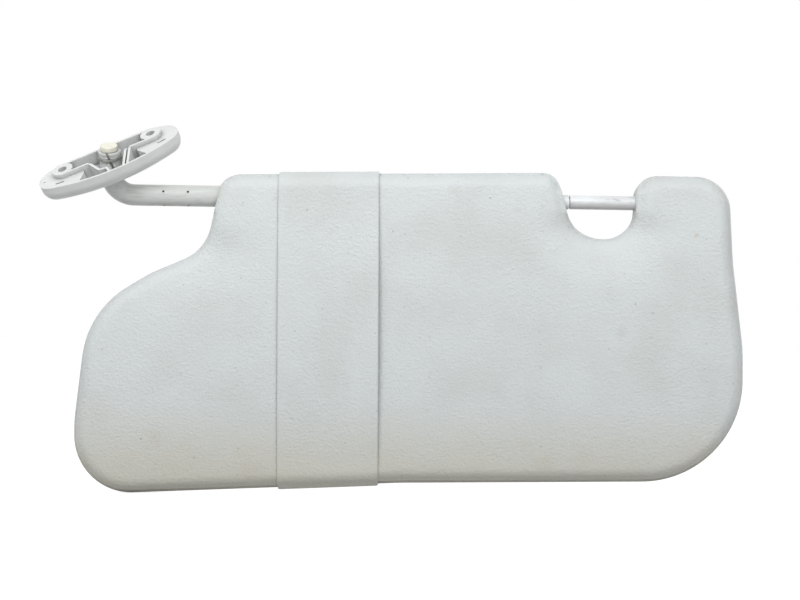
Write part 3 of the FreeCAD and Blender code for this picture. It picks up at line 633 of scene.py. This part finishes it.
def embossed_vinyl(name, stains, specks, creases):
    """The sheet's material, with the marks that lie on this piece of it."""
    material, tree, place = new_material(name)
    axes = add(tree, "SeparateXYZ", {0: place})
    flat = add(tree, "CombineXYZ", {"X": axes.outputs["X"], "Y": axes.outputs["Z"]})

    # Colour: cool grey in slow clouds, beige and darker towards the low edge as dirt and painted
    # shade, then stains and specks
    clouds = add(tree, "TexNoise", {"Vector": place, "Scale": 1 / CLOUD, "Detail": 5.0})
    cloudy = add(tree, "MapRange", {"Value": clouds, **CLOUD_SPAN})
    mixed = {"Factor": cloudy, "A": shade(VINYL), "B": shade(VINYL_CLOUD)}
    colour = add(tree, "Mix", mixed, data_type="RGBA")
    height = axes.outputs["Z"]
    wavy = add(tree, "Math", {0: clouds, 1: CLOUD, 2: height}, operation="MULTIPLY_ADD")
    start, full = (z + CLOUD / 2 for z in LOW_BAND)
    beige_and_shade = add(tree, "MapRange", {"Value": wavy, "From Min": start, "From Max": full})
    stained = marks(tree, flat, stains, STAIN_CORE)
    specked = marks(tree, flat, specks, SPECK_CORE)
    for share, tone in ((beige_and_shade, VINYL_LOW_BEIGE_AND_SHADE), (stained, STAIN), (specked, SOOT_AND_SHADE)):
        mixed = {"Factor": share, "A": colour, "B": shade(tone)}
        colour = add(tree, "Mix", mixed, data_type="RGBA")

    # Pits: each cell of a pattern has a small dent at its middle, and a third of them show it
    pattern = {"Vector": flat, "Scale": 1 / PIT_SPACING}
    cells = add(tree, "TexVoronoi", pattern, voronoi_dimensions="2D")
    limits = {**PIT_SIZE, "To Min": 1.0, "To Max": 0.0}
    dent = add(tree, "MapRange", {"Value": cells.outputs["Distance"], **limits})
    drawn = add(tree, "SeparateColor", {0: cells.outputs["Color"]})
    chosen = add(tree, "MapRange", {"Value": drawn, **PIT_CHOICE})
    pit = add(tree, "Math", {0: dent, 1: chosen}, operation="MULTIPLY")
    dark = add(tree, "Math", {0: pit, 1: PIT_DARK}, operation="MULTIPLY")

    # Grime and painted shade in the weld, and where the strap's edges lie
    depth = add(tree, "Attribute", attribute_name="grime_and_shade_depth").outputs["Fac"]
    limits = {"From Min": 0.0, "From Max": WELD_REACH, "To Min": WELD_GRIME_AND_SHADE, "To Max": 0.0}
    grime_and_shade = add(tree, "MapRange", {"Value": depth, **limits})
    for share in (dark, grime_and_shade):
        mixed = {"Factor": share, "A": colour, "B": shade(SOOT_AND_SHADE)}
        colour = add(tree, "Mix", mixed, data_type="RGBA")

    # Relief: the leather grain, finer unevenness on it, creases in a few places, and the pits
    sizes = (1 / (GRAIN * GRAIN_STRETCH), 1 / GRAIN, 1 / GRAIN)
    coarse = add(tree, "VectorMath", {0: place, 1: sizes}, operation="MULTIPLY")
    cells = add(tree, "TexVoronoi", {"Vector": coarse, "Scale": 1.0}, feature="SMOOTH_F1")
    relief = add(tree, "Math", {0: cells, 1: GRAIN_DEPTH}, operation="MULTIPLY")
    fine = add(tree, "TexNoise", {"Vector": place, "Scale": 1 / FINE_GRAIN, "Detail": 2.0})
    relief = add(tree, "Math", {0: fine, 1: FINE_DEPTH, 2: relief}, operation="MULTIPLY_ADD")
    sizes = (1 / (CREASE * CREASE_STRETCH), 1 / CREASE, 1 / CREASE)
    stretched = add(tree, "VectorMath", {0: place, 1: sizes}, operation="MULTIPLY")
    ripples = add(tree, "TexNoise", {"Vector": stretched, "Scale": 1.0, "Detail": 3.0})
    creased = marks(tree, flat, creases, CREASE_CORE)
    depth = add(tree, "Math", {0: creased, 1: CREASE_DEPTH}, operation="MULTIPLY")
    relief = add(tree, "Math", {0: ripples, 1: depth, 2: relief}, operation="MULTIPLY_ADD")
    relief = add(tree, "Math", {0: pit, 1: -PIT_DEPTH, 2: relief}, operation="MULTIPLY_ADD")
    bump = add(tree, "Bump", {"Height": relief, "Distance": MM, "Strength": 1.0})

    finish = {
        "Base Color": colour,
        "Roughness": add(tree, "MapRange", {"Value": clouds, **NOISE_SPAN, **VINYL_ROUGH}),
        "Normal": bump,
        "IOR": 1.5,
        "Specular IOR Level": 0.45,
        "Sheen Weight": 0.04,
    }
    add(tree, "OutputMaterial", {"Surface": add(tree, "BsdfPrincipled", finish)})
    return material


front_vinyl = embossed_vinyl("embossed_vinyl_front", FRONT_STAINS, FRONT_SPECKS, FRONT_CREASES)
back_vinyl = embossed_vinyl("embossed_vinyl_back", BACK_STAINS, BACK_SPECKS, BACK_CREASES)
dress(front_cover, front_vinyl)
dress(back_cover, back_vinyl)

# The ticket strap: a band of the same vinyl with its edges turned under, pulled tight round
# the panel and welded to a loop. It lies in its bed on both faces, and on the front its right
# edge has lifted off, most of all halfway down.
STRAP_GAP = 0.25
STRAP_SHEET = 1.1
STRAP_EDGE = 1.3
EDGE_SHARE = 0.25  # of the band's thickness, left at the very edge
STRAP_FOOT = -177.5  # z at which the strap meets the panel's low edge
LEFT_LIFT = 0.5
LEFT_RUN = 6.0
RIGHT_LIFT = 2.6
RIGHT_RUN = 14.0
BACK_SHARE = 0.2
LIFT_POWER = 1.6
FOLLOW_FROM, FOLLOW_FULL = 1.5, 9.0
# The band's edges are darkened: grime, and painted shade
BAND_GRIME_AND_SHADE = 1.6
BAND_CREASE = 60
BAND_STAINS = ((140, -20, 5, 0.08),)
EDGE_COLUMNS = (0.0, 0.12, 0.35, 0.7, 1.3, 2.2, 3.5)
MIDDLE_COLUMNS = 30
EDGE_TURNS = 9
LINE_PARTS = 4
FACE_ROWS = 60


def outline_height(x, top):
    """z of the panel's edge straight above or below a place on its face."""
    crossings = []
    for (a, _), (b, _) in zip(outline, outline[1:] + outline[:1]):
        if min(a.x, b.x) <= x < max(a.x, b.x):
            crossings.append(a.y + (b.y - a.y) * (x - a.x) / (b.x - a.x))
    return max(crossings) if top else min(crossings)


def edge_rows():
    """The tight band's line from the weld's lip to the face: depth, height out, and its slope."""
    centre_in = SEAM_LIP + EDGE_ROUND
    slope = math.acos(EDGE_ROUND / math.hypot(centre_in, HALF_THICKNESS - EDGE_ROUND - LIP_HALF))
    rows = [(0.0, LIP_HALF, slope * k / EDGE_TURNS) for k in range(EDGE_TURNS)]
    touch_in = centre_in - EDGE_ROUND * math.cos(slope)
    touch_out = HALF_THICKNESS - EDGE_ROUND + EDGE_ROUND * math.sin(slope)
    for k in range(LINE_PARTS):
        t = (k + 0.5) / LINE_PARTS
        rows.append((touch_in * t, LIP_HALF + (touch_out - LIP_HALF) * t, slope))
    for k in range(EDGE_TURNS + 1):
        angle = slope + (math.pi / 2 - slope) * k / EDGE_TURNS
        out = HALF_THICKNESS - EDGE_ROUND + EDGE_ROUND * math.sin(angle)
        rows.append((centre_in - EDGE_ROUND * math.cos(angle), out, angle))
    return rows


def strap_line(across):
    """The closed line that the band follows at a distance from its left edge.

    Each place has its normal, its side, and 1 halfway down a face, where an edge lifts most.
    """
    top = outline_height(STRAP_X + across, True)
    bottom = outline_height(strap_left(STRAP_FOOT) + across, False)
    upper = []
    lower = []
    for depth, out, angle in edge_rows():
        upper.append((top - depth, out, math.cos(angle), math.sin(angle), depth))
        lower.append((bottom + depth, out, -math.cos(angle), math.sin(angle), depth))
    face_top, face_bottom = upper[-1][0], lower[-1][0]
    face = []
    for k in range(1, FACE_ROWS):
        z = face_top + (face_bottom - face_top) * k / FACE_ROWS
        face.append((z, HALF_THICKNESS, 0.0, 1.0, min(top - z, z - bottom)))
    line = []
    for side in (-1, 1):
        placed = []
        for z, out, up, away, depth in upper + face + lower[::-1]:
            x = strap_left(z) + across
            soft = softness(x, z, depth, side) * smooth_step(FOLLOW_FROM, FOLLOW_FULL, depth)
            down = min(max((top - z) / (top - bottom), 0), 1)
            halfway = math.sin(math.pi * down) ** LIFT_POWER
            place = Vector((x, side * (out + soft), z))
            placed.append((place, Vector((0, side * away, up)), side, halfway))
        line += placed if side < 0 else placed[::-1]
    return line


def strap():
    """The band as one closed sheet, with rounded edges."""
    spread = STRAP_WIDTH - 2 * EDGE_COLUMNS[-1]
    columns = list(EDGE_COLUMNS)
    columns += [EDGE_COLUMNS[-1] + spread * k / MIDDLE_COLUMNS for k in range(1, MIDDLE_COLUMNS)]
    columns += [STRAP_WIDTH - column for column in reversed(EDGE_COLUMNS)]
    vertices = []
    grime_and_shade_depths = []
    loops = []
    lengths = []
    for across in columns:
        from_edge = min(across, STRAP_WIDTH - across)
        rounding = 1 - min(from_edge / STRAP_EDGE, 1)
        thick = STRAP_SHEET * (EDGE_SHARE + (1 - EDGE_SHARE) * math.sqrt(1 - rounding**2))
        lift = LEFT_LIFT * smooth_step(LEFT_RUN, 0, across)
        lift += RIGHT_LIFT * smooth_step(STRAP_WIDTH - RIGHT_RUN, STRAP_WIDTH, across)
        under, over = [], []
        for place, away, side, halfway in strap_line(across):
            gap = STRAP_GAP + lift * halfway * (1 if side < 0 else BACK_SHARE)
            for row, distance in ((under, gap), (over, gap + thick)):
                row.append(len(vertices))
                # The band's edges are darkened with grime and painted shade
                grime_and_shade_depths.append(from_edge + BAND_GRIME_AND_SHADE)
                vertices.append(at(*(place + away * distance)))
        loops.append((under, over))
        line = [vertices[i] for i in over]
        lengths.append(sum((a - b).length for a, b in zip(line, line[1:] + line[:1])))
    rows = len(loops[0][0])
    faces = []
    for (under_a, over_a), (under_b, over_b) in zip(loops, loops[1:]):
        for i in range(rows):
            j = (i + 1) % rows
            faces.append((over_a[i], over_a[j], over_b[j], over_b[i]))
            faces.append((under_a[i], under_b[i], under_b[j], under_a[j]))
    for (under, over), turned in ((loops[0], False), (loops[-1], True)):
        for i in range(rows):
            j = (i + 1) % rows
            face = (over[i], under[i], under[j], over[j])
            faces.append(face[::-1] if turned else face)
    mesh = vinyl_mesh("ticket_band", vertices, faces, grime_and_shade_depths, BAND_CREASE)
    return put("ticket_band", mesh), sum(lengths) / len(lengths)


ticket_band, band_length = strap()
dress(ticket_band, embossed_vinyl("embossed_vinyl_strap", BAND_STAINS, FRONT_SPECKS[1:2], ()))
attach(ticket_band, "panel")
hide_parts("ticket_strap")

# The pivot arm: a zinc-plated steel rod bent through a right angle, in a sleeve of moulded
# ABS. Handling has turned the sleeve grey, and it carries fine streaks along its length.
SLEEVE = "cdd0ce"
# Colour of the streaks, and of the painted shade in the sleeve's corners
SLEEVE_GRIME_AND_SHADE = "8d8b83"

sleeve_abs = moulded("moulded_abs_sleeve", SLEEVE, SLEEVE_GRIME_AND_SHADE, 0.42, (9, 1.2, 1.2), 0.3, 0.6)
dress(nodes["arm_sleeve"], sleeve_abs)
for node in ("arm_rod", "rod_retainer"):
    dress(nodes[node], zinc_plated_wire)

# The roof bracket: one moulding in grey ABS with ribs under its screw pads, its outer wall
# rounded and satin. Its pockets are darkened with painted shade and dust. A round wire ring closes
# its split boss.
BRACKET = "dcdedd"
BRACKET_DUST_AND_SHADE = "66666b"
RING_WIRE = "d3d3cf"

bracket_abs = moulded("moulded_abs_bracket", BRACKET, BRACKET_DUST_AND_SHADE, 0.45, (14, 14, 14), 0.08, 0.75)
dress(nodes["roof_bracket"], bracket_abs)
dress(nodes["boss_ring"], steel("bright_ring_wire", RING_WIRE, 0.5, (1, 1, 0.1)))

# The swivel's cap, bush and washer: nylon, moulded and left natural, so a warm waxy cream
NYLON = "e9e8d8"
# Colour of the grime, and of the painted shade in corners
NYLON_GRIME_AND_SHADE = "6d6a60"

for node in ("swivel_cap", "swivel_bush", "thrust_washer"):
    nylon = moulded("natural_nylon_" + node, NYLON, NYLON_GRIME_AND_SHADE, 0.35, (2, 2, 2), 0.12, 0.6)
    dress(nodes[node], nylon)

# The clip pin and its collar: white acetal, turned, hard and smooth. The roof clip grips its
# right half and has soiled it, and its underside is painted grey as shade.
ACETAL = "e8ecee"
ACETAL_GRIME_AND_SHADE = "98928c"
COLLAR = "e6e9ea"
CLIP_ZONE = {"From Min": 300.0, "From Max": 312.0}
CLIP_WEAR = 0.2
# Where and how strongly the underside is painted grey as shade
SHADE_START = 0.5
SHADE_FADE = 1.0
UNDERSIDE_SHADE = 0.5
SHADE_EDGE_WAVE = 2.0
SMUDGE = (5.0, 1.6, 1.6)
SMUDGE_SPAN = {"From Min": 0.52, "From Max": 0.72, "To Max": 0.6}
CLEAN_SHARE = 0.1


def soiled_acetal():
    """The pin's material: clean and white at the left, smudged at the right, darker below as
    painted shade.
    """
    material, tree, place = new_material("soiled_acetal_pin")
    axes = add(tree, "SeparateXYZ", {0: place})
    sizes = [1 / size for size in SMUDGE]
    along = add(tree, "VectorMath", {0: place, 1: sizes}, operation="MULTIPLY")
    smudges = add(tree, "TexNoise", {"Vector": along, "Scale": 1.0, "Detail": 4.0})
    smudged = add(tree, "MapRange", {"Value": smudges, **SMUDGE_SPAN})
    limits = {**CLIP_ZONE, "To Min": CLEAN_SHARE, "To Max": 1.0}
    gripped = add(tree, "MapRange", {"Value": axes.outputs["X"], **limits})
    smudged = add(tree, "Math", {0: smudged, 1: gripped}, operation="MULTIPLY")
    worn = add(tree, "Math", {0: gripped, 1: CLIP_WEAR}, operation="MULTIPLY")
    # The underside is darkened with painted shade, below a ragged line
    height = axes.outputs["Z"]
    ragged = add(tree, "Math", {0: smudges, 1: SHADE_EDGE_WAVE, 2: height}, operation="MULTIPLY_ADD")
    limits = {"From Min": SHADE_START + SHADE_FADE, "From Max": SHADE_START - SHADE_FADE}
    underside_shade = add(tree, "MapRange", {"Value": ragged, **limits, "To Max": UNDERSIDE_SHADE})
    dirt_and_shade = add(tree, "Math", {0: smudged, 1: worn}, operation="MAXIMUM")
    dirt_and_shade = add(tree, "Math", {0: dirt_and_shade, 1: underside_shade}, operation="MAXIMUM")
    mixed = {"Factor": dirt_and_shade, "A": shade(ACETAL), "B": shade(ACETAL_GRIME_AND_SHADE)}
    colour = add(tree, "Mix", mixed, data_type="RGBA")
    finish = {"Base Color": colour, "Roughness": 0.3, "IOR": 1.48}
    add(tree, "OutputMaterial", {"Surface": add(tree, "BsdfPrincipled", finish)})
    return material


dress(nodes["clip_pin"], soiled_acetal())
collar_acetal = moulded("moulded_acetal_collar", COLLAR, PALE_GRIME_AND_SHADE, 0.35, (3, 3, 3), 0.2, 0.5)
dress(nodes["pin_block_left"], collar_acetal)

# Studio: white floor under the panel's lowest edge, white background, one wide soft lamp
# above the front, and a soft sky that is brighter behind, as from a white wall. The floor
# looks white and keeps the panel's shadow.
FLOOR_SIZE = 3.0
FLOOR_DROP = 0.4
FLOOR_WHITE = 0.5
FLOOR_GLOW = 0.8
CAMERA_PLACE = (182.9, -900, -63.05)
CAMERA_LENS = 64.6
CAMERA_ROLL = math.radians(0.964)
SKY_FRONT = 0.24
SKY_BACK = 0.8
SKY_SPAN = {"From Min": -0.2, "From Max": 0.6}
LAMP_WATTS = 6.0
LAMP_SIZE = (1.8, 0.22)
LAMP_PLACE = (140, -480, 330)
LAMP_AIM = (190, 0, -60)

lowest = (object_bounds()[0].z - axis_z) / MM - FLOOR_DROP
half = FLOOR_SIZE / MM
floor_mesh = bpy.data.meshes.new("floor")
corners = [at(x * half, y * half, lowest) for x, y in ((-1, -1), (1, -1), (1, 1), (-1, 1))]
floor_mesh.from_pydata(corners, [], [(0, 1, 2, 3)])
floor = put("floor", floor_mesh)


def straight_rays(tree, others):
    """1 for rays that show the studio itself, and the given strength for light on the object."""
    rays = add(tree, "LightPath").outputs
    seen = rays["Is Camera Ray"]
    for kind in ("Is Glossy Ray", "Is Transmission Ray"):
        seen = add(tree, "Math", {0: seen, 1: rays[kind]}, operation="MAXIMUM")
    return add(tree, "MapRange", {"Value": seen, "To Min": others, "To Max": 1.0})


material, tree, place = new_material("white_floor")
glow = add(tree, "Math", {0: straight_rays(tree, 0.0), 1: FLOOR_GLOW}, operation="MULTIPLY")
finish = {
    "Base Color": (FLOOR_WHITE, FLOOR_WHITE, FLOOR_WHITE, 1),
    "Roughness": 0.9,
    "Emission Color": (1, 1, 1, 1),
    "Emission Strength": glow,
}
add(tree, "OutputMaterial", {"Surface": add(tree, "BsdfPrincipled", finish)})
dress(floor, material)

world = bpy.data.worlds.new("studio")
bpy.context.scene.world = world
world.use_nodes = True
tree = world.node_tree
tree.nodes.clear()
direction = add(tree, "SeparateXYZ", {0: add(tree, "TexCoord").outputs["Generated"]})
limits = {**SKY_SPAN, "To Min": SKY_FRONT, "To Max": SKY_BACK}
around = add(tree, "MapRange", {"Value": direction.outputs["Y"], **limits})
sky = {"Color": (1, 1, 1, 1), "Strength": straight_rays(tree, around)}
add(tree, "OutputWorld", {"Surface": add(tree, "Background", sky)})

lamp = put("lamp", bpy.data.lights.new("lamp", "AREA"))
lamp.data.energy = LAMP_WATTS
lamp.data.shape = "RECTANGLE"
lamp.data.size, lamp.data.size_y = LAMP_SIZE
lamp.location = at(*LAMP_PLACE)
lamp.rotation_euler = (at(*LAMP_AIM) - lamp.location).to_track_quat("-Z", "Y").to_euler()

camera = put("camera", bpy.data.cameras.new("camera"))
camera.data.lens = CAMERA_LENS
camera.location = at(*CAMERA_PLACE)
camera.rotation_euler = (math.radians(90), 0, 0)
camera.rotation_euler.rotate_axis("Z", CAMERA_ROLL)
bpy.context.scene.camera = camera
bpy.context.scene.view_settings.view_transform = "Standard"
